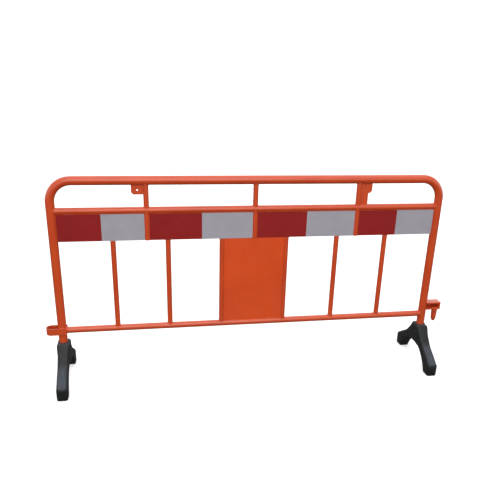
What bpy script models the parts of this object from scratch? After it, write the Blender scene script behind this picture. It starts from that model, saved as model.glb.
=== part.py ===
"""Road-works crowd barrier: a painted steel tube frame with reflective boards, on two swivelling rubber feet.

World axes: +X along the barrier, from the link eye towards the hook pin; +Y away from the side that
carries the reflective sheeting; +Z up, with the floor at Z = 0. The frame's own datum lies on the floor
midway between the two legs. It is shifted along X so that the whole barrier, eye and hook included, is
centred on the origin.
Run with: blender --background --python part.py
"""

import math

import bmesh
import bpy
from mathutils import Matrix, Vector

# ---- driving dimensions, metres ----
LEG_X = 0.915                 # leg axis, from the datum
MAIN_R = 0.020                # main tube, outside radius
MAIN_WALL = 0.002
TOP_Z = 0.980                 # axis of the top rail
BEND_R = 0.095                # centre-line radius of the two top bends

MID_Z = 0.845
MID_R = 0.015
BOTTOM_Z = 0.266
BOTTOM_R = 0.015
BAR_R = 0.012                 # posts and infill bars
TUBE_WALL = 0.0015

POST_X = (-0.500, 0.0, 0.500)
POST_SIDES = ("left", "centre", "right")
BAR_X = (-0.656, -0.407, -0.155, 0.155, 0.407, 0.656)

SHEET = 0.0015                # boards and centre panel
SHEET_Y = -0.006              # middle of the sheet, just in front of the tubes' axes
BOARD_LOW_Z = 0.705           # lower edge of the boards
BOARD_TOP_Z = 0.8305
BOARD_FLANGE_Y = 0.012        # the folded lower flange reaches back to here
FILM = 0.0004
FILM_MARGIN = 0.0004          # bare sheet around each piece of sheeting

PLATE = 0.004                 # lamp brackets and link eye
LAMP_HOLE_R = 0.004           # only the left bracket has a hole
LAMP_HOLE_OUT = 0.0375        # hole centre, from the post's axis
LAMP_HOLE_Z = 0.937
TAB_OUT = 0.065               # outer edge of a lamp bracket, from the post's axis
TAB_LOW_LEFT_Z = 0.917
TAB_LOW_RIGHT_Z = 0.914
TAIL_OUT = 0.0475             # outer edge of the right bracket's long tail
TAB_CLIP = 0.010              # clipped lower corner

EYE_REACH = 0.073             # outside of the eye, from the leg's axis
EYE_LOW_Z = 0.250
EYE_HIGH_Z = 0.284
EYE_LIMB = 0.022              # the limbs run past the leg's axis by this

HOOK_REACH = 0.089            # outside of the hook strap, from the leg's axis
HOOK_START = 0.012            # its ends, from the leg's axis
HOOK_HALF_Y = 0.022
HOOK_LOW_Z = 0.293
HOOK_HIGH_Z = 0.333
HOOK_PLATE = 0.008
HOOK_BEND_R = 0.002           # outside radius of its two bends
HOOK_BACK = 0.004             # plate that closes the strap's loop at the back
PIN_OUT = 0.070               # pin axis, from the leg's axis
PIN_R = 0.0155
PIN_SHOULDER_R = 0.0135       # where the slight taper ends and the rounded nose begins
PIN_SHOULDER_Z = 0.247
PIN_NOSE_STEPS = 4
PIN_TIP_Z = 0.219

FOOT_TOP_Z = 0.206
SOCKET_FLOOR_Z = 0.124
SOCKET_R = 0.0206
LEG_END_Z = 0.1275
SEAT_Z = 0.109                # underside seat of the washer
SEAT_R = 0.015
UNDER_SEAT_Z = 0.070          # the seat's bore starts in the open air below the arch
BOLT_R = 0.005
BOLT_HOLE_R = 0.0056
BOLT_TOP_Z = 0.160
BOLT_HEAD_R = 0.0098
BOLT_HEAD_H = 0.0064
WASHER_R = 0.012
WASHER_T = 0.002
PLUG_FLANGE_R = 0.0195
PLUG_R = 0.0172
PLUG_TOP_Z = 0.165

GAP = 0.0003                  # clearance that welded and seated pieces keep to each other
SIDES = 16                    # facets around a tube
CUT_SIDES = 24                # facets around a cutter

FRAME_SHIFT = (EYE_REACH - HOOK_REACH) / 2

# Foot, half of its side outline: each rib joins a point of the upper outline to one of the underside, as
# (out_y, out_z), (in_y, in_z), from the middle of the foot down to the sole of one pad.
FOOT_RIBS = (
    ((0.000, FOOT_TOP_Z), (0.000, 0.1060)),
    ((0.030, FOOT_TOP_Z), (0.027, 0.1050)),
    ((0.037, 0.2000), (0.034, 0.1040)),
    ((0.046, 0.1880), (0.042, 0.1020)),
    ((0.070, 0.1605), (0.056, 0.0965)),
    ((0.092, 0.1355), (0.074, 0.0875)),
    ((0.110, 0.1195), (0.090, 0.0760)),
    ((0.140, 0.1005), (0.108, 0.0600)),
    ((0.170, 0.0815), (0.122, 0.0445)),
    ((0.192, 0.0675), (0.132, 0.0300)),
    ((0.203, 0.0600), (0.138, 0.0190)),
    ((0.207, 0.0510), (0.142, 0.0110)),
    ((0.207, 0.0150), (0.145, 0.0040)),
    ((0.203, 0.0000), (0.147, 0.0000)),
)
SOCKET_HALF_X = 0.029
SOCKET_END_Y = 0.037          # the socket's width ends here and
SHANK_START_Y = 0.055         # the shank's begins here
SHANK_HALF_X = 0.025
TOE_START_Y = 0.120           # the shank narrows from here
TOE_FULL_Y = 0.190            # to the toe's width here
TOE_HALF_X = 0.0245
FOOT_CHAMFER = 0.006

ORANGE = (0.604, 0.076, 0.014, 1.0)
RED = (0.44, 0.014, 0.016, 1.0)
WHITE = (0.78, 0.79, 0.82, 1.0)
BLACK = (0.016, 0.018, 0.020, 1.0)
STEEL = (0.42, 0.42, 0.41, 1.0)
NYLON = (0.05, 0.05, 0.05, 1.0)

# Looks: colour, roughness, metallic.
PAINT = (ORANGE, 0.38, 0.0)
RED_FILM = (RED, 0.30, 0.0)
WHITE_FILM = (WHITE, 0.30, 0.0)
RUBBER = (BLACK, 0.62, 0.0)
ZINC = (STEEL, 0.35, 1.0)
PLASTIC = (NYLON, 0.55, 0.0)


# ---- scene and helpers ----
def clear_scene():
    for old in list(bpy.data.objects):
        bpy.data.objects.remove(old, do_unlink=True)


def new_collection(name):
    collection = bpy.data.collections.new(name)
    bpy.context.scene.collection.children.link(collection)
    return collection


def new_empty(name, x, z, parent=None):
    empty = bpy.data.objects.new(name, None)
    empty.location = (x, 0.0, z)
    empty.parent = parent
    PARTS.objects.link(empty)
    return empty


def material(name, colour, roughness, metallic=0.0):
    mat = bpy.data.materials.new(name)
    mat.use_nodes = True
    shader = mat.node_tree.nodes["Principled BSDF"]
    shader.inputs["Base Color"].default_value = colour
    shader.inputs["Roughness"].default_value = roughness
    shader.inputs["Metallic"].default_value = metallic
    mat.diffuse_color = colour
    return mat


def add_part(name, mesh, look, parent, location=(0.0, 0.0, 0.0)):
    """Link a mesh as one named piece with its own material."""
    obj = bpy.data.objects.new(name, mesh)
    obj.location = location
    obj.parent = parent
    colour, roughness, metallic = look
    mesh.materials.clear()
    mesh.materials.append(material(name + "_look", colour, roughness, metallic))
    PARTS.objects.link(obj)
    return obj


def smooth(mesh, degrees=35):
    mesh.shade_smooth()
    mesh.set_sharp_from_angle(angle=math.radians(degrees))


def tube_mesh(name, points, radius, sides=SIDES):
    """An open-ended tube surface along straight runs between the points, as a mesh."""
    curve = bpy.data.curves.new(name, "CURVE")
    curve.dimensions = "3D"
    curve.bevel_depth = radius
    curve.bevel_resolution = sides // 2 - 2
    spline = curve.splines.new("POLY")
    spline.points.add(len(points) - 1)
    for spot, point in zip(spline.points, points):
        spot.co = (*point, 1.0)
    guide = bpy.data.objects.new(name + "_guide", curve)
    PARTS.objects.link(guide)
    bpy.context.view_layer.update()
    mesh = bpy.data.meshes.new_from_object(guide.evaluated_get(bpy.context.evaluated_depsgraph_get()))
    bpy.data.objects.remove(guide, do_unlink=True)
    bpy.data.curves.remove(curve)
    mesh.name = name
    smooth(mesh)
    return mesh


def add_tube(name, points, radius, wall, look, parent):
    """A hollow tube: the outer surface, thickened inwards."""
    obj = add_part(name, tube_mesh(name, points, radius), look, parent)
    shell = obj.modifiers.new("wall", "SOLIDIFY")
    shell.thickness = wall
    shell.offset = -1.0
    return obj


def cylinder_mesh(name, radius, height, sides=CUT_SIDES):
    """A capped cylinder along Z, standing on its local origin."""
    bm = bmesh.new()
    bmesh.ops.create_cone(bm, cap_ends=True, segments=sides, radius1=radius, radius2=radius, depth=height,
                          matrix=Matrix.Translation((0, 0, height / 2)))
    mesh = bpy.data.meshes.new(name)
    bm.to_mesh(mesh)
    bm.free()
    return mesh


def box_mesh(name, low, high):
    """A box between two corners."""
    low, high = Vector(low), Vector(high)
    bm = bmesh.new()
    middle = Matrix.Translation((low + high) / 2) @ Matrix.Diagonal((high - low).to_4d())
    bmesh.ops.create_cube(bm, size=1.0, matrix=middle)
    mesh = bpy.data.meshes.new(name)
    bm.to_mesh(mesh)
    bm.free()
    return mesh


def add_cutter(name, mesh, parent, location=(0.0, 0.0, 0.0), rotation=(0.0, 0.0, 0.0)):
    cutter = bpy.data.objects.new(name, mesh)
    cutter.location = location
    cutter.rotation_euler = rotation
    cutter.parent = parent
    cutter.hide_render = True
    cutter.display_type = "WIRE"
    CUTTERS.objects.link(cutter)
    return cutter


def boolean(obj, cutter, operation="DIFFERENCE"):
    cut = obj.modifiers.new(cutter.name, "BOOLEAN")
    cut.object = cutter
    cut.operation = operation
    cut.solver = "EXACT"


def outline_mesh(name, points, thickness, holes=()):
    """A flat plate from an outline in its local XY plane, centred on it. Holes are (x, y, radius)."""
    curve = bpy.data.curves.new(name, "CURVE")
    curve.dimensions = "2D"
    curve.fill_mode = "BOTH"
    curve.extrude = thickness / 2
    loops = [points]
    for x, y, radius in holes:
        steps = [2 * math.pi * i / SIDES for i in range(SIDES)]
        loops.append([(x + radius * math.cos(a), y + radius * math.sin(a)) for a in steps])
    for loop in loops:
        spline = curve.splines.new("POLY")
        spline.use_cyclic_u = True
        spline.points.add(len(loop) - 1)
        for spot, (x, y) in zip(spline.points, loop):
            spot.co = (x, y, 0.0, 1.0)
    guide = bpy.data.objects.new(name + "_guide", curve)
    PARTS.objects.link(guide)
    bpy.context.view_layer.update()
    mesh = bpy.data.meshes.new_from_object(guide.evaluated_get(bpy.context.evaluated_depsgraph_get()))
    bpy.data.objects.remove(guide, do_unlink=True)
    bpy.data.curves.remove(curve)
    bm = bmesh.new()
    bm.from_mesh(mesh)
    bmesh.ops.remove_doubles(bm, verts=bm.verts, dist=1e-5)
    bmesh.ops.recalc_face_normals(bm, faces=bm.faces)
    bm.to_mesh(mesh)
    bm.free()
    mesh.name = name
    return mesh


def arc(centre, radius, start, end, steps):
    """Points on a circular arc, from start to end degrees."""
    angles = [math.radians(start + (end - start) * i / steps) for i in range(steps + 1)]
    return [(centre[0] + radius * math.cos(a), centre[1] + radius * math.sin(a)) for a in angles]


def add_turned(name, profile, closed, look, parent, location):
    """A turned piece: a profile of (radius, height) pairs swept around Z."""
    bm = bmesh.new()
    verts = [bm.verts.new((radius, 0.0, height)) for radius, height in profile]
    for first, second in zip(verts, verts[1:]):
        bm.edges.new((first, second))
    if closed:
        bm.edges.new((verts[-1], verts[0]))
    mesh = bpy.data.meshes.new(name)
    bm.to_mesh(mesh)
    bm.free()
    obj = add_part(name, mesh, look, parent, location)
    screw = obj.modifiers.new("turn", "SCREW")
    screw.steps = SIDES
    screw.render_steps = SIDES
    screw.use_merge_vertices = True
    screw.merge_threshold = 0.00001
    return obj


# ---- frame tubes ----
def main_frame_tube(datum):
    """The top rail and both legs: one tube with two bends."""
    bend_z = TOP_Z - BEND_R
    bend_x = LEG_X - BEND_R
    left = arc((-bend_x, bend_z), BEND_R, 180, 90, 8)
    right = arc((bend_x, bend_z), BEND_R, 90, 0, 8)
    path = [(-LEG_X, LEG_END_Z), *left, *right, (LEG_X, LEG_END_Z)]
    points = [(x, 0.0, z) for x, z in path]
    return add_tube("main_frame_tube", points, MAIN_R, MAIN_WALL, PAINT, datum)


def leg_cutters(datum):
    cutters = []
    for side, x in (("left", -LEG_X), ("right", LEG_X)):
        mesh = cylinder_mesh("leg_cut_" + side, MAIN_R + GAP, TOP_Z)
        cutters.append(add_cutter("leg_cut_" + side, mesh, datum, (x, 0.0, 0.0)))
    return cutters


def rail_cutter(name, z, radius, datum):
    """A cutter along X that copes the end of an upright to a rail."""
    mesh = cylinder_mesh(name, radius + GAP, 2 * LEG_X)
    return add_cutter(name, mesh, datum, (-LEG_X, 0.0, z), (0.0, math.pi / 2, 0.0))


def cross_rails(datum, legs):
    for name, z, radius in (("mid_rail", MID_Z, MID_R), ("bottom_rail", BOTTOM_Z, BOTTOM_R)):
        rail = add_tube(name, [(-LEG_X, 0, z), (LEG_X, 0, z)], radius, TUBE_WALL, PAINT, datum)
        for leg in legs:
            boolean(rail, leg)


def upright(name, x, low, high, datum, cuts):
    """A post or bar between two heights, its ends coped by the cutters."""
    tube = add_tube(name, [(x, 0, low), (x, 0, high)], BAR_R, TUBE_WALL, PAINT, datum)
    for cut in cuts:
        boolean(tube, cut)


def uprights(datum, top_cut, mid_cut, bottom_cut):
    for side, x in zip(POST_SIDES, POST_X):
        upright("upper_post_" + side, x, MID_Z, TOP_Z, datum, (top_cut, mid_cut))
        upright("board_post_" + side, x, BOARD_LOW_Z, MID_Z, datum, (mid_cut,))
    for number, x in enumerate(BAR_X, 1):
        upright("infill_bar_%d" % number, x, BOTTOM_Z, BOARD_LOW_Z - GAP, datum, (bottom_cut,))


# ---- sheet metal ----
def half_chord(radius, y):
    """Half the width of an upright tube at a distance y in front of its axis, with the welding gap."""
    return math.sqrt(radius ** 2 - y ** 2) + GAP


def bays():
    """Legs and posts to the left and right of each of the four boards, as (axis x, radius)."""
    uprights_x = [(-LEG_X, MAIN_R)] + [(x, BAR_R) for x in POST_X] + [(LEG_X, MAIN_R)]
    return list(zip(uprights_x, uprights_x[1:]))


def boards(datum):
    """Each board is a sheet whose lower edge is folded back into a flange, notched to clear the tubes."""
    face_y = SHEET_Y - SHEET / 2
    back_y = SHEET_Y + SHEET / 2
    for number, ((left_x, left_r), (right_x, right_r)) in enumerate(bays(), 1):
        x0 = left_x + half_chord(left_r, back_y)
        x1 = right_x - half_chord(right_r, back_y)
        name = "reflector_board_%d" % number
        sheet = box_mesh(name, (x0, face_y, BOARD_LOW_Z), (x1, back_y, BOARD_TOP_Z))
        board = add_part(name, sheet, PAINT, datum)
        low = (left_x + left_r + GAP, SHEET_Y, BOARD_LOW_Z)
        high = (right_x - right_r - GAP, BOARD_FLANGE_Y, BOARD_LOW_Z + SHEET)
        flange = add_cutter("flange_%d" % number, box_mesh("flange_%d" % number, low, high), datum)
        boolean(board, flange, "UNION")
        sheeting(datum, number, x0, x1, face_y)


def sheeting(datum, number, x0, x1, face_y):
    """Red sheeting on the left half of a board, white on the right half."""
    middle = (x0 + x1) / 2
    halves = (
        ("red_sheeting_%d", RED_FILM, x0 + FILM_MARGIN, middle - FILM_MARGIN / 2),
        ("white_sheeting_%d", WHITE_FILM, middle + FILM_MARGIN / 2, x1 - FILM_MARGIN),
    )
    for pattern, look, left, right in halves:
        name = pattern % number
        low = (left, face_y - GAP - FILM, BOARD_LOW_Z + FILM_MARGIN)
        high = (right, face_y - GAP, BOARD_TOP_Z - FILM_MARGIN)
        add_part(name, box_mesh(name, low, high), look, datum)


def centre_panel(datum):
    """Sheet between the two middle bars."""
    half = BAR_X[3] - half_chord(BAR_R, SHEET_Y + SHEET / 2)
    rail_top = BOTTOM_Z + math.sqrt(BOTTOM_R ** 2 - (SHEET_Y + SHEET / 2) ** 2)
    low = (-half, SHEET_Y - SHEET / 2, rail_top + GAP)
    high = (half, SHEET_Y + SHEET / 2, BOARD_LOW_Z - GAP)
    add_part("centre_panel", box_mesh("centre_panel", low, high), PAINT, datum)


# ---- brackets ----
def lamp_bracket(side, x, outline, holes, datum):
    """A flat tab beside an outer post."""
    name = "lamp_bracket_" + side
    plate = add_part(name, outline_mesh(name, outline, PLATE, holes), PAINT, datum, (x, 0, 0))
    plate.rotation_euler = (math.pi / 2, 0.0, 0.0)


def lamp_brackets(datum):
    """The left tab has a hole for a warning lamp's bolt; the right one has a tail down to the mid rail."""
    root = BAR_R + GAP
    clip = TAB_OUT - TAB_CLIP
    top = TOP_Z - math.sqrt(MAIN_R ** 2 - (PLATE / 2) ** 2) - GAP
    low = TAB_LOW_LEFT_Z
    left = [(-root, top), (-TAB_OUT, top), (-TAB_OUT, low + TAB_CLIP), (-clip, low), (-root, low)]
    lamp_bracket("left", POST_X[0], left, [(-LAMP_HOLE_OUT, LAMP_HOLE_Z, LAMP_HOLE_R)], datum)
    low = TAB_LOW_RIGHT_Z
    foot = MID_Z + math.sqrt(MID_R ** 2 - (PLATE / 2) ** 2) + GAP
    tail = [(root, foot), (TAIL_OUT, foot), (TAIL_OUT, low), (clip, low)]
    right = tail + [(TAB_OUT, low + TAB_CLIP), (TAB_OUT, top), (root, top)]
    lamp_bracket("right", POST_X[2], right, [], datum)


def link_eye(datum):
    """A flat strap bent into a U around the left leg: the neighbour's pin drops into it."""
    inner = MAIN_R + GAP
    outer = inner + PLATE
    end_x = -EYE_REACH + outer
    outline = [(EYE_LIMB, outer), *arc((end_x, 0), outer, 90, 270, 12), (EYE_LIMB, -outer),
               (EYE_LIMB, -inner), *arc((end_x, 0), inner, 270, 90, 12), (EYE_LIMB, inner)]
    mesh = outline_mesh("link_eye", outline, EYE_HIGH_Z - EYE_LOW_Z)
    smooth(mesh)
    add_part("link_eye", mesh, PAINT, datum, (-LEG_X, 0, (EYE_LOW_Z + EYE_HIGH_Z) / 2))


def hook_strap(datum, right_leg):
    """A strap bent into a flat loop on the right leg, closed at the back, with a hole for the pin below."""
    low = HOOK_LOW_Z
    high = HOOK_HIGH_Z
    bend = HOOK_BEND_R
    outside = [(HOOK_START, high), *arc((HOOK_REACH - bend, high - bend), bend, 90, 0, 4),
               *arc((HOOK_REACH - bend, low + bend), bend, 0, -90, 4), (HOOK_START, low)]
    inside = [(HOOK_START, low + HOOK_PLATE), (HOOK_REACH - HOOK_PLATE, low + HOOK_PLATE),
              (HOOK_REACH - HOOK_PLATE, high - HOOK_PLATE), (HOOK_START, high - HOOK_PLATE)]
    mesh = outline_mesh("hook_strap", outside + inside, 2 * HOOK_HALF_Y)
    strap = add_part("hook_strap", mesh, PAINT, datum, (LEG_X, 0, 0))
    strap.rotation_euler = (math.pi / 2, 0.0, 0.0)
    half_plate = HOOK_PLATE / 2
    back_low = (HOOK_START, HOOK_HALF_Y - HOOK_BACK, low + half_plate)
    back_high = (HOOK_REACH - half_plate, HOOK_HALF_Y, high - half_plate)
    back = add_cutter("hook_back", box_mesh("hook_back", back_low, back_high), datum, (LEG_X, 0, 0))
    boolean(strap, back, "UNION")
    boolean(strap, right_leg)
    hole = cylinder_mesh("pin_hole", PIN_R + GAP, 2 * HOOK_PLATE)
    boolean(strap, add_cutter("pin_hole", hole, datum, (LEG_X + PIN_OUT, 0, low - half_plate)))


def pin_profile():
    """(radius, height) down the pin: straight in the strap, slightly tapered, then a rounded nose."""
    yield 0.0, HOOK_LOW_Z + HOOK_PLATE
    yield PIN_R, HOOK_LOW_Z + HOOK_PLATE
    yield PIN_R, HOOK_LOW_Z
    for step in range(PIN_NOSE_STEPS):
        angle = math.pi / 2 * step / PIN_NOSE_STEPS
        drop = (PIN_SHOULDER_Z - PIN_TIP_Z) * math.sin(angle)
        yield PIN_SHOULDER_R * math.cos(angle), PIN_SHOULDER_Z - drop
    yield 0.0, PIN_TIP_Z


def hook_pin(datum):
    """The link pin, set in the strap's lower limb and pointing down."""
    pin = add_turned("hook_pin", list(pin_profile()), False, PAINT, datum, (LEG_X + PIN_OUT, 0, 0))
    smooth(pin.data)


# ---- feet ----
def share(value, start, end):
    """How far a value has come from start to end, between 0 and 1."""
    return min(1.0, max(0.0, (value - start) / (end - start)))


def foot_half_width(y):
    """Half the foot's width: wide at the socket, slim in the shank, slimmest at the toe."""
    shank = share(abs(y), SOCKET_END_Y, SHANK_START_Y)
    toe = share(abs(y), TOE_START_Y, TOE_FULL_Y)
    return SOCKET_HALF_X + (SHANK_HALF_X - SOCKET_HALF_X) * shank + (TOE_HALF_X - SHANK_HALF_X) * toe


def foot_ring(bm, outer, inner, sign):
    """One closed section of the foot, across the rib from its upper to its lower point."""
    outer = Vector(outer)
    inner = Vector(inner)
    chamfer = FOOT_CHAMFER / (inner - outer).length
    steps = (0.0, chamfer, 0.5, 1 - chamfer, 1.0)
    spots = [outer.lerp(inner, t) for t in steps]
    widths = [foot_half_width(spot.x) for spot in spots]
    widths[0] -= FOOT_CHAMFER
    widths[-1] -= FOOT_CHAMFER
    left = [bm.verts.new((-w, sign * spot.x, spot.y)) for w, spot in zip(widths, spots)]
    right = [bm.verts.new((w, sign * spot.x, spot.y)) for w, spot in zip(widths, spots)]
    return left + right[::-1]


def foot_mesh():
    """The foot's body as a loft from the sole of one pad, over the socket, to the sole of the other."""
    bm = bmesh.new()
    rings = [foot_ring(bm, *rib, -1) for rib in FOOT_RIBS[:0:-1]]
    rings += [foot_ring(bm, *rib, 1) for rib in FOOT_RIBS]
    for first, second in zip(rings, rings[1:]):
        for i in range(len(first)):
            j = (i + 1) % len(first)
            bm.faces.new((first[i], first[j], second[j], second[i]))
    bm.faces.new(rings[0])
    bm.faces.new(rings[-1])
    bmesh.ops.recalc_face_normals(bm, faces=bm.faces)
    mesh = bpy.data.meshes.new("foot")
    bm.to_mesh(mesh)
    bm.free()
    smooth(mesh)
    return mesh


def foot_cutters(side, pivot):
    """The leg's socket from above, the bolt's hole, and the washer's seat from below."""
    cuts = (
        ("socket_cut_", SOCKET_R, SOCKET_FLOOR_Z, FOOT_TOP_Z + SOCKET_R),
        ("bolt_hole_cut_", BOLT_HOLE_R, UNDER_SEAT_Z, FOOT_TOP_Z),
        ("seat_cut_", SEAT_R, UNDER_SEAT_Z, SEAT_Z),
    )
    for name, radius, low, high in cuts:
        yield add_cutter(name + side, cylinder_mesh(name + side, radius, high - low), pivot, (0, 0, low))


def foot_bolt(side, pivot):
    """Hexagon bolt, up through the foot into the leg's plug."""
    head_top = SEAT_Z - GAP - WASHER_T - GAP
    head = cylinder_mesh("foot_bolt", BOLT_HEAD_R, BOLT_HEAD_H, 6)
    bolt = add_part("foot_bolt_" + side, head, ZINC, pivot, (0, 0, head_top - BOLT_HEAD_H))
    shank = cylinder_mesh("shank_" + side, BOLT_R, BOLT_TOP_Z - head_top + BOLT_HEAD_H / 2, SIDES)
    boolean(bolt, add_cutter("shank_" + side, shank, pivot, (0, 0, head_top - BOLT_HEAD_H / 2)), "UNION")


def foot_fixings(side, pivot):
    high = SEAT_Z - GAP
    low = high - WASHER_T
    washer = [(WASHER_R, high), (WASHER_R, low), (BOLT_HOLE_R, low), (BOLT_HOLE_R, high)]
    add_turned("foot_washer_" + side, washer, True, ZINC, pivot, (0, 0, 0))
    rim = SOCKET_FLOOR_Z + GAP
    lip = LEG_END_Z - GAP
    flange = [(PLUG_FLANGE_R, lip), (PLUG_FLANGE_R, rim)]
    plug = [(PLUG_R, PLUG_TOP_Z), (PLUG_R, lip), *flange, (BOLT_HOLE_R, rim), (BOLT_HOLE_R, PLUG_TOP_Z)]
    add_turned("leg_plug_" + side, plug, True, PLASTIC, pivot, (0, 0, 0))
    foot_bolt(side, pivot)


def feet(datum):
    for side, x in (("left", -LEG_X), ("right", LEG_X)):
        pivot = new_empty("foot_pivot_" + side, x, 0.0, datum)
        foot = add_part("foot_" + side, foot_mesh(), RUBBER, pivot)
        for cutter in foot_cutters(side, pivot):
            boolean(foot, cutter)
        foot_fixings(side, pivot)


clear_scene()
PARTS = new_collection("road_barrier")
CUTTERS = new_collection("cutters")


def main():
    datum = new_empty("barrier_datum", FRAME_SHIFT, 0.0)
    legs = leg_cutters(datum)
    main_frame_tube(datum)
    cross_rails(datum, legs)
    uprights(
        datum,
        rail_cutter("top_rail_cut", TOP_Z, MAIN_R, datum),
        rail_cutter("mid_rail_cut", MID_Z, MID_R, datum),
        rail_cutter("bottom_rail_cut", BOTTOM_Z, BOTTOM_R, datum),
    )
    boards(datum)
    centre_panel(datum)
    lamp_brackets(datum)
    link_eye(datum)
    hook_strap(datum, legs[1])
    hook_pin(datum)
    feet(datum)


main()
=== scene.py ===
"""Looks of the orange road barrier: fine tubes, weld beads, sheet metal, reflective sheeting and rubber feet.

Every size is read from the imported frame's boxes or is a named value, in metres. Colours are linear.
"""

import math

import bmesh
import bpy
from mathutils import Matrix, Vector, noise


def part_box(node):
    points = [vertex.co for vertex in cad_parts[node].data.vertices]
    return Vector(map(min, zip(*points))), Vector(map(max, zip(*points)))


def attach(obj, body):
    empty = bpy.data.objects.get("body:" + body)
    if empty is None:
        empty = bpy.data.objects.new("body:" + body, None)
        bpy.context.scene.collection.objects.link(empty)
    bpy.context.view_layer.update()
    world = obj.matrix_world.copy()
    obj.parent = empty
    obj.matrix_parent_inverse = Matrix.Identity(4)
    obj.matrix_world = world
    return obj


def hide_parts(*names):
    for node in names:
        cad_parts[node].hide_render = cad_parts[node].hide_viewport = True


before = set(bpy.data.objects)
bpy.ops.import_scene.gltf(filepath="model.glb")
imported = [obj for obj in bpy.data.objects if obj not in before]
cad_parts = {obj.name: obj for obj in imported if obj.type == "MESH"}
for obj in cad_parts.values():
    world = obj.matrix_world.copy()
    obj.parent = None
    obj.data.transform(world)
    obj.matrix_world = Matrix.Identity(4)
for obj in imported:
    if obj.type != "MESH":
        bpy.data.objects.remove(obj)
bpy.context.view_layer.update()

# ---- camera, as the barrier is seen in the photograph ----
CAMERA_AT = (-0.5035, -2.659, 1.528)
CAMERA_YAW = 11.15             # degrees to the right of +Y
CAMERA_PITCH = 22.06           # degrees down
CAMERA_ROLL = 2.01             # degrees, the camera leans to the left
CAMERA_SENSOR = 36.0           # mm
CAMERA_LENS = 42.6             # mm
CAMERA_SHIFT = (-0.017, 0.0815)
CAMERA_REACH = 100.0           # nothing further away is drawn

# ---- light ----
SKY_STRENGTH = 2.4
GROUND_GLOW = 0.05
SKY_STEPS = (                  # (height of the direction, brightness)
    (-1.0, GROUND_GLOW),
    (-0.10, GROUND_GLOW),
    (-0.04, 0.45),
    (0.44, 0.45),
    (0.54, 0.14),
    (0.62, 0.16),
    (0.86, 0.62),
)
SOFTBOX_AT = (-0.4, -3.2, 2.8)
SOFTBOX_AIM = (0.0, 0.0, 0.4)
SOFTBOX_SIZE = (3.2, 2.0)
SOFTBOX_POWER = 56.0
FLOOR_SIZE = 120.0
FLOOR_GLOW = 0.35

# ---- colours ----
ORANGE = (0.640, 0.068, 0.007)
ORANGE_DEEP = (0.580, 0.055, 0.005)
SHEET_ORANGE = (0.760, 0.078, 0.006)
SHEET_ORANGE_DEEP = (0.700, 0.066, 0.004)
DUST = (0.42, 0.34, 0.26)
SCUFF = (0.70, 0.22, 0.12)
FILM_RED = (0.275, 0.011, 0.011)
FILM_RED_SEAM = (0.40, 0.05, 0.05)
FILM_WHITE = (0.400, 0.380, 0.425)
FILM_WHITE_SEAM = (0.24, 0.24, 0.27)
GRIME = (0.16, 0.13, 0.11)
RUBBER = (0.009, 0.010, 0.011)
RUBBER_SCUFF = (0.022, 0.025, 0.029)
RUBBER_CRUMB = (0.13, 0.13, 0.14)
# bluish colour for the faces that look up: partly dust, partly a painted reflection of the sky
RUBBER_DUST_AND_SKY_SHEEN = (0.105, 0.125, 0.170)
ZINC = (0.58, 0.58, 0.55)
ZINC_DULL = (0.44, 0.43, 0.38)
NYLON = (0.03, 0.03, 0.03)
NYLON_WORN = (0.045, 0.045, 0.048)
FLOOR_PALE = (0.90, 0.90, 0.90)
FLOOR_PALEST = (0.93, 0.93, 0.93)
FLOOR_GLOW_COLOUR = (1.0, 1.0, 1.0, 1.0)

# ---- textures ----
PAINT_PEEL = 0.10              # strength of the orange peel on the tubes
SHEET_PEEL = 0.06              # the same, on the sheets
DUST_LOW_Z = 0.15              # the paint is dustiest below this height
DUST_HIGH_Z = 0.55             # and clean above this one
SCUFF_STRETCH = (30.0, 30.0, 260.0)
FILM_CELL = 0.0046             # between two of the lattice's lines
FILM_CELL_TURNS = (30.0, 90.0, 150.0)
FILM_FLAKES = 1400.0           # in each metre
CRUMB_SCALE = 420.0            # crumbs in each metre
RUBBER_DRAG = (90.0, 14.0, 14.0)

# ---- round shapes and edges ----
TUBE_SIDES = 40
LATHE_SIDES = 40
HOLE_SIDES = 36
BEND_STEPS = 20
SOFT_CREASE = 38               # degrees, sharper edges than this are creased
PLATE_CREASE = 13              # the same, for flat plates with softened edges
PLATE_EDGE = 0.0006
PLATE_EDGE_STEPS = 2
SAME_SPOT = 1e-5               # points nearer than this are joined
ON_AXIS = 1e-6                 # a smaller radius than this is a point on the axis

# ---- tubes ----
MAIN_WALL = 0.002
THIN_WALL = 0.0015
BEND_R = 0.095
BITE = 0.0004                  # an end or a plate runs this far into its mate's surface

# ---- weld beads ----
WELD_R = 0.0023
SMALL_WELD_R = WELD_R * 0.8
BEAD_SIDES = 8
BEAD_ACROSS = (0.13, 0.97, 0.21)   # only a direction well away from the bead's own
BEAD_ACROSS_Y = (0.9, 0.1, 0.4)    # the same, for a bead that runs mostly along Y
MOSTLY_Y = 0.9
BEAD_STEP = 0.0011
SADDLE_STEPS = 4200            # steps round a saddle, for each metre of the tube's radius
CAP_WELD_STEPS = 48
CAP_WELD_DROP = 0.001          # a bar's upper bead is this far below its end
RIPPLE_PITCH = 0.0034
RIPPLE = 0.10                  # share of the bead's radius
LUMP = 0.16                    # the same, for the uneven part
LUMP_SCALE = 160.0
BEAD_END = 0.35                # smallest share of the radius at an open bead's ends
BEAD_END_STEPS = 3             # an open bead grows to its full size over this many steps
BEAD_END_START = 0.6           # and this is how many of them it has behind it at its end

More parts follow.
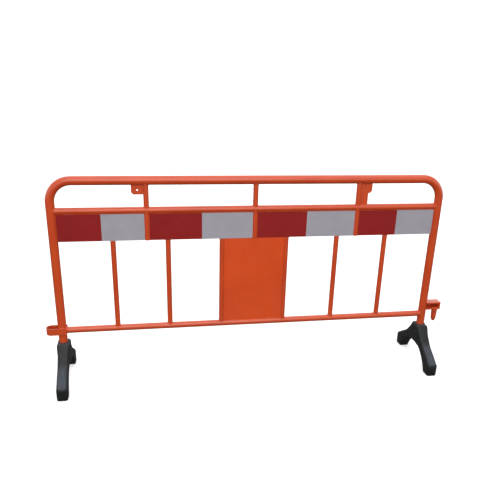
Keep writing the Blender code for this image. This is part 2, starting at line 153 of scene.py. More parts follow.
# ---- sheets ----
SHEET = 0.0015
SHEET_STEP = 0.012             # grid of the waved sheets
WAVE = 0.0005                  # depth of the gentle waves in the sheets
WAVE_SCALE = (5.5, 9.0)        # along x and z
WAVE_SLICE = 3.7               # where the solid noise is cut
FOLD_R = 0.0022
FOLD_STEPS = 5
BOARD_ROWS = 8
TUCK = 0.0012                  # the boards reach up under the mid rail by this
SIDE_TUCK = 0.0007             # the sheets reach into the uprights and rails beside them by this
RAIL_STITCHES = (0.12, 0.5, 0.88)
RAIL_STITCH = 0.014            # half of a stitch's length
POST_STITCH_IN = 0.035         # from the board's upper or lower edge
POST_STITCH = 0.010
PANEL_SIDE_STITCHES = (0.08, 0.5, 0.92)
PANEL_SIDE_STITCH = 0.011
PANEL_LOW_STITCHES = (0.2, 0.5, 0.8)
PANEL_LOW_STITCH = 0.012

# ---- lamp brackets ----
LAMP_HOLE_R = 0.004
LAMP_HOLE_OUT = 0.0375         # from the post's axis
LAMP_HOLE_Z = 0.937
TAB_CLIP = 0.010               # cut-off corner
TAIL_OUT = 0.0475              # the right bracket's tail ends here, from the post's axis
TAIL_TOP_Z = 0.914
TAB_WELD_IN = 0.004            # the beads stop short of the corners by this
TAB_WELD_RISE = 0.0004         # the upper bead is this far above the bracket's edge
TAIL_WELD_START = 0.003
TAIL_WELD_OUT = 0.045

# ---- link eye ----
EYE_STRAP = 0.004
EYE_STEPS = 28
EYE_WELD = 0.010               # half of a bead's length

# ---- hook strap and pin ----
HOOK_PLATE = 0.008
HOOK_BEND_R = 0.002
HOOK_BEND_STEPS = 8
HOOK_INNER_R = 0.0025
HOOK_INNER_STEPS = 9
HOOK_BACK = 0.004
HOOK_BACK_INSET = 0.0008       # the back plate lies this far inside the strap's edge
HOOK_START = 0.012             # the strap starts this far from the leg's axis
HOOK_WELD_TURN = 72            # degrees, the beads reach this far to each side of the leg's outer line
HOOK_WELD_STEPS = 44
PIN_RISE = 0.0004              # the pin's upper end stands this far above the strap's lower limb
PIN_RIM = 0.001
PIN_RIM_MIDDLE = 0.0003
PIN_SHOULDER_R = 0.0135
PIN_SHOULDER_Z = 0.247
PIN_NOSE_STEPS = 16
PIN_WELD_STEPS = 64

# ---- feet ----
FOOT_RIBS = (                  # half of the side outline, (out_y, out_z) to (in_y, in_z), middle to sole
    ((0.000, 0.2060), (0.000, 0.1060)),
    ((0.030, 0.2060), (0.027, 0.1050)),
    ((0.037, 0.2000), (0.034, 0.1040)),
    ((0.046, 0.1880), (0.042, 0.1020)),
    ((0.070, 0.1605), (0.056, 0.0965)),
    ((0.092, 0.1355), (0.074, 0.0875)),
    ((0.110, 0.1195), (0.090, 0.0760)),
    ((0.140, 0.1005), (0.108, 0.0600)),
    ((0.170, 0.0815), (0.122, 0.0445)),
    ((0.192, 0.0675), (0.132, 0.0300)),
    ((0.203, 0.0600), (0.138, 0.0190)),
    ((0.207, 0.0510), (0.142, 0.0110)),
    ((0.207, 0.0150), (0.145, 0.0040)),
    ((0.203, 0.0000), (0.147, 0.0000)),
)
RIB_STEPS = 4                  # smooth ribs for each one of the outline
RIB_TENSION = 0.35
HUB_HALF = 0.029               # half of the foot's width at the socket
HUB_END_Y = 0.034
WAIST_IN = 0.004               # each side is narrower by this outside the hub
WAIST_LENGTH = 0.024
TAPER_START_Y = 0.12
TAPER_IN = 0.0005              # and by this again towards the toe
TAPER_LENGTH = 0.07
TOE_Y = 0.207
TOE_ROUND = 0.010
UPPER_EDGE_R = 0.0105
UPPER_EDGE_SHARE = 0.3         # largest share of the section's height
LOWER_EDGE_R = 0.008
LOWER_EDGE_SHARE = 0.2
EDGE_STEPS = 5
SIDE_SHARES = (0.4, 0.7)       # levels on the flat part of the foot's side
COLLAR_R = 0.0262
COLLAR_DEPTH = 0.02
COLLAR_RISE = 0.003
COLLAR_RIM = (                 # (radius, height above the foot)
    (COLLAR_R, 0.0005),
    (0.0252, 0.0022),
    (0.0235, COLLAR_RISE),
)
SOCKET_R = 0.0206
SOCKET_FLOOR_Z = 0.124
SOCKET_LIP = 0.0035
SOCKET_RIM = 0.004             # the socket's cutter has its full width from this far above the foot
CUTTER_SPARE = 0.01            # a cutter stands out of the foot by this
BOLT_HOLE_R = 0.0056
BOLT_HOLE_Z = (0.08, 0.13)
BOLT_SEAT_R = 0.015
BOLT_SEAT_Z = (0.07, 0.109)
GROOVES_Y = (0.152, 0.168, 0.184)
GROOVE_WIDTH = 0.006
GROOVE_DEPTH = 0.003
GROOVE_HALF_LENGTH = 0.05

# ---- foot bolts ----
BOLT_SIDES = 48
BOLT_HEAD = 0.0064
HEAD_LEVELS = (                # (share of the radius to the corners, height)
    (0.84, 0.0),
    (1.0, 0.0012),
    (1.0, BOLT_HEAD - 0.0004),
    (0.97, BOLT_HEAD),
)
SHANK_R = 0.005
SHANK_END_R = 0.0042
SHANK_CHAMFER = 0.001

# ---- names ----
SIDES = ("left", "centre", "right")
BOARDS = (1, 2, 3, 4)
BARS = (1, 2, 3, 4, 5, 6)
FRAME_BODY = "frame"


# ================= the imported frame's measures =================
def middle(node):
    low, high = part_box(node)
    return (low + high) / 2


def half_size(node):
    low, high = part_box(node)
    return (high - low) / 2


MAIN_LOW, MAIN_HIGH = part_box("main_frame_tube")
MAIN_R = half_size("main_frame_tube").y
LEG_X = (MAIN_LOW.x + MAIN_R, MAIN_HIGH.x - MAIN_R)
TOP_Z = MAIN_HIGH.z - MAIN_R
MID_Z = middle("mid_rail").z
MID_R = half_size("mid_rail").z
BOTTOM_Z = middle("bottom_rail").z
BOTTOM_R = half_size("bottom_rail").z
BAR_R = half_size("infill_bar_1").x
BOARD_LOW_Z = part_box("reflector_board_1")[0].z
SHEET_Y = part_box("centre_panel")[0].y
FOOT_TOP_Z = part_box("foot_left")[1].z


# ================= node helpers =================
class Nodes:
    """A short way to build one material's node tree."""

    def __init__(self, name):
        self.material = bpy.data.materials.new(name)
        self.material.use_nodes = True
        self.tree = self.material.node_tree
        self.shader = self.tree.nodes["Principled BSDF"]
        self.place = self.add("ShaderNodeTexCoord").outputs["Object"]

    def add(self, kind, **settings):
        node = self.tree.nodes.new(kind)
        for key, value in settings.items():
            setattr(node, key, value)
        return node

    def link(self, source, target):
        """Set the target to a constant, or link it to another node's output."""
        if isinstance(source, (int, float, tuple)):
            target.default_value = source
        else:
            self.tree.links.new(source, target)

    def noise(self, scale, detail=2.0, roughness=0.5, vector=None):
        """Noise of about so many waves in each metre; more detail adds finer ones."""
        node = self.add("ShaderNodeTexNoise")
        self.link(vector or self.place, node.inputs["Vector"])
        node.inputs["Scale"].default_value = scale
        node.inputs["Detail"].default_value = detail
        node.inputs["Roughness"].default_value = roughness
        return node.outputs["Fac"]

    def cells(self, scale):
        """Irregular cells, with each one's own colour and the distance from its centre."""
        node = self.add("ShaderNodeTexVoronoi")
        self.link(self.place, node.inputs["Vector"])
        node.inputs["Scale"].default_value = scale
        return node.outputs

    def stretched(self, scale):
        """The object's own coordinates, scaled along each axis."""
        node = self.add("ShaderNodeMapping")
        self.link(self.place, node.inputs["Vector"])
        node.inputs["Scale"].default_value = scale
        return node.outputs[0]

    def span(self, value, low, high, out_low=0.0, out_high=1.0):
        """Map low to high onto out_low to out_high, and hold the value at those beyond them."""
        node = self.add("ShaderNodeMapRange", clamp=True)
        self.link(value, node.inputs["Value"])
        node.inputs["From Min"].default_value = low
        node.inputs["From Max"].default_value = high
        node.inputs["To Min"].default_value = out_low
        node.inputs["To Max"].default_value = out_high
        return node.outputs["Result"]

    def math(self, operation, first, second=0.0):
        node = self.add("ShaderNodeMath", operation=operation)
        self.link(first, node.inputs[0])
        self.link(second, node.inputs[1])
        return node.outputs[0]

    def times(self, first, *others):
        for other in others:
            first = self.math("MULTIPLY", first, other)
        return first

    def mix(self, factor, first, second):
        node = self.add("ShaderNodeMix", data_type="RGBA")
        self.link(factor, node.inputs["Factor"])
        for value, socket in ((first, node.inputs["A"]), (second, node.inputs["B"])):
            self.link((*value, 1.0) if isinstance(value, tuple) else value, socket)
        return node.outputs["Result"]

    def axes(self, vector=None):
        node = self.add("ShaderNodeSeparateXYZ")
        self.link(vector or self.place, node.inputs[0])
        return node.outputs

    def bump(self, height, strength, distance, below=None):
        """A normal from a height, on top of the bump below it if there is one."""
        node = self.add("ShaderNodeBump")
        self.link(height, node.inputs["Height"])
        node.inputs["Strength"].default_value = strength
        node.inputs["Distance"].default_value = distance
        if below is not None:
            self.link(below, node.inputs["Normal"])
        return node.outputs["Normal"]

    def output(self, colour, roughness, normal=None, **constants):
        """Finish the material. A constant's name is the shader input's, with _ for each space."""
        self.link(colour, self.shader.inputs["Base Color"])
        self.link(roughness, self.shader.inputs["Roughness"])
        if normal is not None:
            self.link(normal, self.shader.inputs["Normal"])
        for key, value in constants.items():
            self.shader.inputs[key.replace("_", " ")].default_value = value
        return self.material


# ================= materials =================
def orange_paint(name, peel, fresh, deep):
    """Powder coat: slow colour drift, orange peel, dust low down, small scuffs."""
    n = Nodes(name)
    drift = n.span(n.noise(5.0, 3.0), 0.35, 0.65)
    colour = n.mix(drift, fresh, deep)
    low = n.span(n.axes()[2], DUST_LOW_Z, DUST_HIGH_Z, 1.0, 0.0)
    haze = n.span(n.noise(38.0, 6.0, 0.65), 0.42, 0.72)
    dust = n.times(low, haze, 0.10)
    colour = n.mix(dust, colour, DUST)
    scuff = n.span(n.noise(1.0, 5.0, 0.7, n.stretched(SCUFF_STRETCH)), 0.66, 0.74)
    patch = n.span(n.noise(9.0, 2.0), 0.55, 0.68)
    scuff = n.times(scuff, patch, 0.45)
    colour = n.mix(scuff, colour, SCUFF)
    rough = n.span(n.noise(14.0, 4.0), 0.3, 0.7, 0.30, 0.42)
    rough = n.math("ADD", rough, n.times(dust, 0.5))
    rough = n.math("ADD", rough, n.times(scuff, 0.3))
    normal = n.bump(n.noise(420.0, 2.0), peel, 0.0004)
    normal = n.bump(scuff, 0.10, 0.0003, normal)
    return n.output(colour, rough, normal, IOR=1.45, Coat_Weight=0.8, Coat_Roughness=0.28, Coat_IOR=1.45)


def reflective_film(name, base, seam):
    """Prismatic sheeting: a lattice of sealed cells under a clear, smooth top layer."""
    n = Nodes(name)
    x, _, z = n.axes()[:3]
    lattice = None
    for degrees in FILM_CELL_TURNS:
        c, s = math.cos(math.radians(degrees)), math.sin(math.radians(degrees))
        along = n.math("ADD", n.times(x, c / FILM_CELL), n.times(z, s / FILM_CELL))
        gap = n.math("PINGPONG", along, 0.5)
        wall = n.span(gap, 0.03, 0.08, 1.0, 0.0)
        lattice = wall if lattice is None else n.math("MAXIMUM", lattice, wall)
    flakes = n.cells(FILM_FLAKES)
    sparkle = n.span(n.axes(flakes["Color"])[0], 0.0, 1.0, 0.90, 1.10)
    clouds = n.span(n.noise(11.0, 3.0), 0.3, 0.7, 0.95, 1.05)
    shade = n.add("ShaderNodeVectorMath", operation="SCALE")
    shade.inputs[0].default_value = base
    n.link(n.times(sparkle, clouds), shade.inputs["Scale"])
    colour = n.mix(n.times(lattice, 0.35), shade.outputs[0], seam)
    grime = n.times(n.span(n.noise(60.0, 6.0, 0.7), 0.55, 0.8), 0.12)
    colour = n.mix(grime, colour, GRIME)
    rough = n.span(n.noise(25.0, 3.0), 0.3, 0.7, 0.26, 0.36)
    normal = n.bump(n.math("ADD", flakes["Distance"], n.times(lattice, 0.6)), 0.25, 0.0002)
    return n.output(colour, rough, normal, IOR=1.3, Coat_Weight=0.3, Coat_Roughness=0.12, Coat_IOR=1.3)


def black_rubber():
    """Moulded recycled rubber: fine grain, pale crumbs, and streaks of bluish colour on what faces up, partly
    dust and partly a painted sky sheen.
    """
    n = Nodes("black_rubber")
    mottling = n.span(n.noise(34.0, 5.0, 0.6), 0.35, 0.7)
    crumb = n.cells(CRUMB_SCALE)
    spot = n.span(crumb["Distance"], 0.10, 0.22, 1.0, 0.0)
    pick = n.span(n.axes(crumb["Color"])[1], 0.86, 0.90)
    colour = n.mix(n.times(mottling, 0.30), RUBBER, RUBBER_SCUFF)
    colour = n.mix(n.times(spot, pick, 0.4), colour, RUBBER_CRUMB)
    facing_up = n.axes(n.add("ShaderNodeNewGeometry").outputs["Normal"])[2]
    streaks = n.span(n.noise(1.0, 5.0, 0.65, n.stretched(RUBBER_DRAG)), 0.30, 0.75, 0.35, 1.0)
    # painted sheen: faces that look up get a bluish sky reflection painted into their colour, mixed with real
    # dust streaks
    dust = n.times(n.span(facing_up, 0.68, 0.86), streaks)
    colour = n.mix(n.times(dust, 0.55), colour, RUBBER_DUST_AND_SKY_SHEEN)
    rough = n.span(n.noise(70.0, 3.0), 0.3, 0.7, 0.42, 0.56)
    grain = n.math("ADD", n.noise(620.0, 3.0), n.times(n.noise(90.0, 4.0), 1.5))
    return n.output(colour, rough, n.bump(grain, 0.35, 0.0006), IOR=1.4)


def zinc_plate():
    """Bright zinc with a dull bloom."""
    n = Nodes("zinc_plate")
    bloom = n.span(n.noise(240.0, 5.0, 0.6), 0.3, 0.7)
    colour = n.mix(bloom, ZINC, ZINC_DULL)
    rough = n.span(n.noise(400.0, 3.0), 0.3, 0.7, 0.28, 0.45)
    return n.output(colour, rough, n.bump(n.noise(900.0, 2.0), 0.15, 0.0002), Metallic=1.0)


def black_nylon():
    n = Nodes("black_nylon")
    colour = n.mix(n.noise(120.0, 3.0), NYLON, NYLON_WORN)
    rough = n.span(n.noise(80.0), 0.3, 0.7, 0.45, 0.6)
    return n.output(colour, rough, n.bump(n.noise(700.0), 0.2, 0.0003))


def pale_floor():
    n = Nodes("pale_floor")
    colour = n.mix(n.noise(0.6, 3.0), FLOOR_PALE, FLOOR_PALEST)
    return n.output(colour, 0.8, Specular_IOR_Level=0.1,
                    Emission_Color=FLOOR_GLOW_COLOUR, Emission_Strength=FLOOR_GLOW)


# ================= mesh helpers =================
def place(name, bm, material, body, replaced=(), crease=SOFT_CREASE):
    """Turn a bmesh into a finished piece that rides on a body."""
    bmesh.ops.recalc_face_normals(bm, faces=bm.faces)
    mesh = bpy.data.meshes.new(name)
    bm.to_mesh(mesh)
    bm.free()
    mesh.materials.append(material)
    mesh.shade_smooth()
    mesh.set_sharp_from_angle(angle=math.radians(crease))
    obj = bpy.data.objects.new(name, mesh)
    bpy.context.scene.collection.objects.link(obj)
    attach(obj, body)
    if replaced:
        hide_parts(*replaced)
    return obj


def fine(node, bm, material, crease=SOFT_CREASE):
    """A piece of the frame that stands for the CAD node of that name."""
    place(node + "_fine", bm, material, FRAME_BODY, [node], crease)


def weld(name, beads, paint):
    """The painted weld beads of one part of the frame."""
    place("weld_" + name, beads, paint, FRAME_BODY)


def move(bm, x=0.0, y=0.0, z=0.0):
    bmesh.ops.translate(bm, verts=bm.verts, vec=(x, y, z))


def stand_up(bm):
    """Turn a plate's outline from the XY plane into the XZ plane."""
    bmesh.ops.rotate(bm, verts=bm.verts, cent=(0, 0, 0), matrix=Matrix.Rotation(math.pi / 2, 3, "X"))


def full_turn(count):
    return [2 * math.pi * k / count for k in range(count)]


def arc(centre, radius, start, end, steps):
    """Points on an arc in a plane, from one angle in degrees to another."""
    angles = [math.radians(start + (end - start) * i / steps) for i in range(steps + 1)]
    return [(centre[0] + radius * math.cos(a), centre[1] + radius * math.sin(a)) for a in angles]


def between(low, high, share):
    return low + (high - low) * share


def bridge(bm, first, second):
    """Faces between two closed rings of as many points."""
    for i in range(len(first)):
        j = (i + 1) % len(first)
        bm.faces.new((first[i], first[j], second[j], second[i]))


def loft(bm, rings):
    """Faces between each ring and the next, and over both ends."""
    for first, second in zip(rings, rings[1:]):
        bridge(bm, first, second)
    bm.faces.new(rings[0])
    bm.faces.new(rings[-1])


def tube_bmesh(path, radius, wall, cope_start=None, cope_end=None, cap_end=False):
    """A hollow tube along a path in the XZ plane. A coped end fits a round mate of the given radius whose
    axis passes through the path's end point."""
    bm = bmesh.new()
    path = [Vector(p) for p in path]
    loops = {radius: [], radius - wall: []}
    for i, point in enumerate(path):
        before = path[max(i - 1, 0)]
        after = path[min(i + 1, len(path) - 1)]
        along = (after - before).normalized()
        side = Vector((0, 1, 0))
        up = along.cross(side)
        mate = cope_start if i == 0 else cope_end if i == len(path) - 1 else None
        inward = 1.0 if i == 0 else -1.0
        for r, rings in loops.items():
            ring = []
            for angle in full_turn(TUBE_SIDES):
                y = r * math.cos(angle)
                spot = point + side * y + up * (r * math.sin(angle))
                if mate:
                    spot += along * inward * (math.sqrt(mate ** 2 - y ** 2) - BITE)
                ring.append(bm.verts.new(spot))
            rings.append(ring)
    outer, inner = loops[radius], loops[radius - wall]
    for rings in (outer, inner):
        for first, second in zip(rings, rings[1:]):
            bridge(bm, first, second)
    bridge(bm, outer[0], inner[0])
    if cap_end:
        bm.faces.new(outer[-1])
        bm.faces.new(inner[-1])
    else:
        bridge(bm, outer[-1], inner[-1])
    return bm


def plate_bmesh(outline, thickness, holes=()):
    """A flat plate with softened edges, from an outline in its local XY plane. Holes are (x, y, radius)."""
    curve = bpy.data.curves.new("outline", "CURVE")
    curve.dimensions = "2D"
    curve.fill_mode = "BOTH"
    curve.extrude = thickness / 2 - PLATE_EDGE
    curve.bevel_depth = PLATE_EDGE
    curve.bevel_resolution = PLATE_EDGE_STEPS
    curve.offset = -PLATE_EDGE
    loops = [outline]
    for x, y, radius in holes:
        loops.append([(x + radius * math.cos(a), y + radius * math.sin(a)) for a in full_turn(HOLE_SIDES)])
    for loop in loops:
        edge = curve.splines.new("POLY")
        edge.use_cyclic_u = True
        edge.points.add(len(loop) - 1)
        for spot, (x, y) in zip(edge.points, loop):
            spot.co = (x, y, 0.0, 1.0)
    guide = bpy.data.objects.new("outline", curve)
    bpy.context.scene.collection.objects.link(guide)
    bpy.context.view_layer.update()
    mesh = bpy.data.meshes.new_from_object(guide.evaluated_get(bpy.context.evaluated_depsgraph_get()))
    bpy.data.objects.remove(guide, do_unlink=True)
    bpy.data.curves.remove(curve)
    bm = bmesh.new()
    bm.from_mesh(mesh)
    bpy.data.meshes.remove(mesh)
    bmesh.ops.remove_doubles(bm, verts=bm.verts, dist=SAME_SPOT)
    return bm


def lathe_bmesh(profile):
    """A turned solid from (radius, height) pairs; the ends lie on the axis."""
    bm = bmesh.new()
    rings = []
    for radius, height in profile:
        spots = [(0, 0, height)]
        if radius >= ON_AXIS:
            spots = [(radius * math.cos(a), radius * math.sin(a), height) for a in full_turn(LATHE_SIDES)]
        rings.append([bm.verts.new(spot) for spot in spots])
    for first, second in zip(rings, rings[1:]):
        if len(first) == 1 or len(second) == 1:
            tip, ring = (first[0], second) if len(first) == 1 else (second[0], first)
            for k in range(LATHE_SIDES):
                bm.faces.new((tip, ring[k], ring[(k + 1) % LATHE_SIDES]))
        else:
            bridge(bm, first, second)
    return bm


# ================= weld beads =================
def bead(bm, points, closed=False, radius=WELD_R, seed=0):
    """A weld bead: a rippled round ridge along a line of points."""
    count = len(points)
    rings = []
    run = 0.0
    for i, point in enumerate(points):
        if closed:
            before, after = points[i - 1], points[(i + 1) % count]
        else:
            before, after = points[max(i - 1, 0)], points[min(i + 1, count - 1)]
        along = (after - before).normalized()
        across = BEAD_ACROSS if abs(along.y) < MOSTLY_Y else BEAD_ACROSS_Y
        side = along.cross(Vector(across)).normalized()
        up = side.cross(along)
        run += (point - points[i - 1]).length if i else 0.0
        ripple = 1.0 + RIPPLE * math.sin(run * 2 * math.pi / RIPPLE_PITCH)
        ripple += LUMP * noise.noise(point * LUMP_SCALE + Vector((seed, 0, 0)))
        size = radius * ripple
        if not closed:
            grown = min(1.0, (min(i, count - 1 - i) + BEAD_END_START) / BEAD_END_STEPS)
            size *= max(BEAD_END, math.sin(math.pi * grown / 2))
        ring = []
        for angle in full_turn(BEAD_SIDES):
            ring.append(bm.verts.new(point + (side * math.cos(angle) + up * math.sin(angle)) * size))
        rings.append(ring)
    if closed:
        for first, second in zip(rings, rings[1:] + rings[:1]):
            bridge(bm, first, second)
    else:
        loft(bm, rings)


def saddle(centre, axis, small, big, sign):
    """The line where a tube of radius small, along axis, meets a round mate of radius big across it."""
    points = []
    for angle in full_turn(int(small * SADDLE_STEPS)):
        y = small * math.cos(angle)
        across = small * math.sin(angle)
        along = sign * math.sqrt(big ** 2 - y ** 2)
        offset = Vector((along, y, across)) if axis == "X" else Vector((across, y, along))
        points.append(Vector(centre) + offset)
    return points


def line(start, end):
    start, end = Vector(start), Vector(end)
    count = int((end - start).length / BEAD_STEP)
    return [start.lerp(end, i / count) for i in range(count + 1)]


def level_line(x, y, z, half):
    """A short line along X."""
    return line((x - half, y, z), (x + half, y, z))


def upright_line(x, y, z, half):
    return line((x, y, z - half), (x, y, z + half))


def level_ring(x, z, radius, angles):
    """Points at these angles round an upright axis through (x, 0)."""
    return [Vector((x + radius * math.cos(a), radius * math.sin(a), z)) for a in angles]


# ================= tubes =================
def main_tube(paint):
    bend_z = TOP_Z - BEND_R
    left = arc((LEG_X[0] + BEND_R, bend_z), BEND_R, 180, 90, BEND_STEPS)
    right = arc((LEG_X[1] - BEND_R, bend_z), BEND_R, 90, 0, BEND_STEPS)
    path = [(LEG_X[0], MAIN_LOW.z), *left, *right, (LEG_X[1], MAIN_LOW.z)]
    fine("main_frame_tube", tube_bmesh([(x, 0, z) for x, z in path], MAIN_R, MAIN_WALL), paint)


def cross_rail(node, paint):
    z = middle(node).z
    r = half_size(node).z
    path = [(LEG_X[0], 0, z), (LEG_X[1], 0, z)]
    fine(node, tube_bmesh(path, r, THIN_WALL, cope_start=MAIN_R, cope_end=MAIN_R), paint)
    beads = bmesh.new()
    for seed, (x, sign) in enumerate(((LEG_X[0], 1), (LEG_X[1], -1))):
        bead(beads, saddle((x, 0, z), "X", r, MAIN_R, sign), True, seed=seed)
    weld(node, beads, paint)


def upright(node, ends, copes, seams, paint):
    """A thin upright tube, and the beads of its seams, each (height, mate's radius, side, seed)."""
    x = middle(node).x
    path = [(x, 0, z) for z in ends]
    fine(node, tube_bmesh(path, BAR_R, THIN_WALL, *copes), paint)
    beads = bmesh.new()
    for z, mate, sign, seed in seams:
        bead(beads, saddle((x, 0, z), "Z", BAR_R, mate, sign), True, seed=seed)
    return beads


def posts(paint):
    for seed, side in enumerate(SIDES):
        node = "upper_post_" + side
        seams = ((TOP_Z, MAIN_R, -1, seed), (MID_Z, MID_R, 1, seed + 5))
        weld(node, upright(node, (MID_Z, TOP_Z), (MID_R, MAIN_R), seams, paint), paint)
        node = "board_post_" + side
        seams = ((MID_Z, MID_R, -1, seed + 9),)
        weld(node, upright(node, (BOARD_LOW_Z, MID_Z), (None, MID_R), seams, paint), paint)


def infill_bars(paint):
    """Bars with a closed upper end, welded to the bottom rail and to the boards' flange."""
    for number in BARS:
        node = "infill_bar_%d" % number
        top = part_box(node)[1].z
        seams = ((BOTTOM_Z, BOTTOM_R, 1, number),)
        beads = upright(node, (BOTTOM_Z, top), (BOTTOM_R, None, True), seams, paint)
        ring = level_ring(middle(node).x, top - CAP_WELD_DROP, BAR_R, full_turn(CAP_WELD_STEPS))
        bead(beads, ring, True, SMALL_WELD_R, seed=number + 20)
        weld(node, beads, paint)


# ================= sheet metal and film =================
def wave(x, z):
    """Gentle buckle of the thin sheets, the same for a board and the film on it."""
    return WAVE * noise.noise(Vector((x * WAVE_SCALE[0], WAVE_SLICE, z * WAVE_SCALE[1])))


def slab_bmesh(low, high):
    """A thin sheet in the XZ plane, cut into a grid and gently waved."""
    bm = bmesh.new()
    columns = round((high.x - low.x) / SHEET_STEP)
    rows = round((high.z - low.z) / SHEET_STEP)
    grids = []
    for y in (low.y, high.y):
        grid = []
        for i in range(columns + 1):
            x = low.x + (high.x - low.x) * i / columns
            column = []
            for j in range(rows + 1):
                z = low.z + (high.z - low.z) * j / rows
                column.append(bm.verts.new((x, y + wave(x, z), z)))
            grid.append(column)
        grids.append(grid)
    for grid in grids:
        for first, second in zip(grid, grid[1:]):
            for j in range(rows):
                bm.faces.new((first[j], first[j + 1], second[j + 1], second[j]))
    rims = []
    for grid in grids:
        rim = [grid[i][0] for i in range(columns)] + [grid[columns][j] for j in range(rows)]
        rim += [grid[i][rows] for i in range(columns, 0, -1)] + [grid[0][j] for j in range(rows, 0, -1)]
        rims.append(rim)
    bridge(bm, *rims)
    return bm


def board(number, paint):
    """The waved sheet with its lower edge folded back, as one folded strip of cross sections."""
    node = "reflector_board_%d" % number
    low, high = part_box(node)
    left, right = low.x - SIDE_TUCK, high.x + SIDE_TUCK
    top = high.z + TUCK
    face = low.y
    fold_z = low.z + FOLD_R
    fold = (face + FOLD_R, fold_z)
    drop = top - low.z - FOLD_R
    outside = [(face, top - drop * i / BOARD_ROWS) for i in range(BOARD_ROWS)]
    outside += arc(fold, FOLD_R, 180, 270, FOLD_STEPS) + [(high.y, low.z)]
    inside = [(high.y, low.z + SHEET)] + arc(fold, FOLD_R - SHEET, 270, 180, FOLD_STEPS)
    inside += [(face + SHEET, fold_z + drop * (i + 1) / BOARD_ROWS) for i in range(BOARD_ROWS)]
    columns = round((right - left) / SHEET_STEP)
    bm = bmesh.new()
    rings = []
    for i in range(columns + 1):
        x = left + (right - left) * i / columns
        rings.append([bm.verts.new((x, y + wave(x, z), z)) for y, z in outside + inside])
    loft(bm, rings)
    fine(node, bm, paint)


def film(node, material):
    fine(node, slab_bmesh(*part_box(node)), material)


def board_welds(paint):
    """Short stitches on the back: sheet to mid rail, and sheet to post."""
    back = SHEET_Y + SHEET
    beads = bmesh.new()
    for number in BOARDS:
        low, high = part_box("reflector_board_%d" % number)
        for share in RAIL_STITCHES:
            x = between(low.x, high.x, share)
            bead(beads, level_line(x, back, high.z, RAIL_STITCH), seed=number + share)
        for x in (low.x, high.x):
            for z in (low.z + POST_STITCH_IN, high.z - POST_STITCH_IN):
                bead(beads, upright_line(x, back, z, POST_STITCH), seed=x + z)
    weld("boards", beads, paint)


def centre_panel(paint):
    low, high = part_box("centre_panel")
    reach = Vector((SIDE_TUCK, 0, SIDE_TUCK))
    fine("centre_panel", slab_bmesh(low - reach, high + reach), paint)
    beads = bmesh.new()
    for x in (low.x, high.x):
        for share in PANEL_SIDE_STITCHES:
            z = between(low.z, high.z, share)
            for y in (low.y, high.y):
                bead(beads, upright_line(x, y, z, PANEL_SIDE_STITCH), False, SMALL_WELD_R, seed=x + z)
    for share in PANEL_LOW_STITCHES:
        x = between(low.x, high.x, share)
        bead(beads, level_line(x, low.y, low.z, PANEL_LOW_STITCH), False, SMALL_WELD_R, seed=x)
    weld("centre_panel", beads, paint)


# ================= lamp brackets, link eye and hook =================
def lamp_bracket(side, paint):
    """The left tab has a hole and a cut-off corner; the right one has a tail down to the mid rail."""
    node = "lamp_bracket_" + side
    low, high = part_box(node)
    post_x = middle("upper_post_" + side).x
    if side == "left":
        sign, near, far = -1, high.x, low.x
        outline = [(near, high.z), (far, high.z), (far, low.z + TAB_CLIP), (far + TAB_CLIP, low.z),
                   (near, low.z)]
        holes = [(post_x - LAMP_HOLE_OUT, LAMP_HOLE_Z, LAMP_HOLE_R)]
    else:
        sign, near, far = 1, low.x, high.x
        tail, step = post_x + TAIL_OUT, TAIL_TOP_Z
        outline = [(near, low.z), (tail, low.z), (tail, step), (far - TAB_CLIP, step), (far, step + TAB_CLIP),
                   (far, high.z), (near, high.z)]
        holes = []
    bm = plate_bmesh(outline, high.y - low.y, holes)
    stand_up(bm)
    fine(node, bm, paint, crease=PLATE_CREASE)
    beads = bmesh.new()
    start, end = near + sign * TAB_WELD_IN, far - sign * TAB_WELD_IN
    rail_z = high.z + TAB_WELD_RISE
    for y in (low.y, high.y):
        bead(beads, line((start, y, rail_z), (end, y, rail_z)))
        bead(beads, line((near, y, low.z + TAB_WELD_IN), (near, y, high.z - TAB_WELD_IN)), seed=3)
        if side == "right":
            bead(beads, line((near + TAIL_WELD_START, y, low.z), (post_x + TAIL_WELD_OUT, y, low.z)), seed=4)
    weld(node, beads, paint)


def link_eye(paint):
    """A strap bent to a U beyond the left leg, with its two ends welded to the leg's sides."""
    low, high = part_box("link_eye")
    outer = (high.y - low.y) / 2
    inner = outer - EYE_STRAP
    centre = (low.x + outer, 0)
    outline = [(high.x, outer), *arc(centre, outer, 90, 270, EYE_STEPS), (high.x, -outer),
               (high.x, -inner), *arc(centre, inner, 270, 90, EYE_STEPS), (high.x, inner)]
    bm = plate_bmesh(outline, high.z - low.z)
    move(bm, z=(low.z + high.z) / 2)
    fine("link_eye", bm, paint, crease=PLATE_CREASE)
    beads = bmesh.new()
    for y in (-inner, inner):
        for z in (low.z, high.z):
            bead(beads, level_line(LEG_X[0], y, z, EYE_WELD), seed=y + z)
    weld("link_eye", beads, paint)


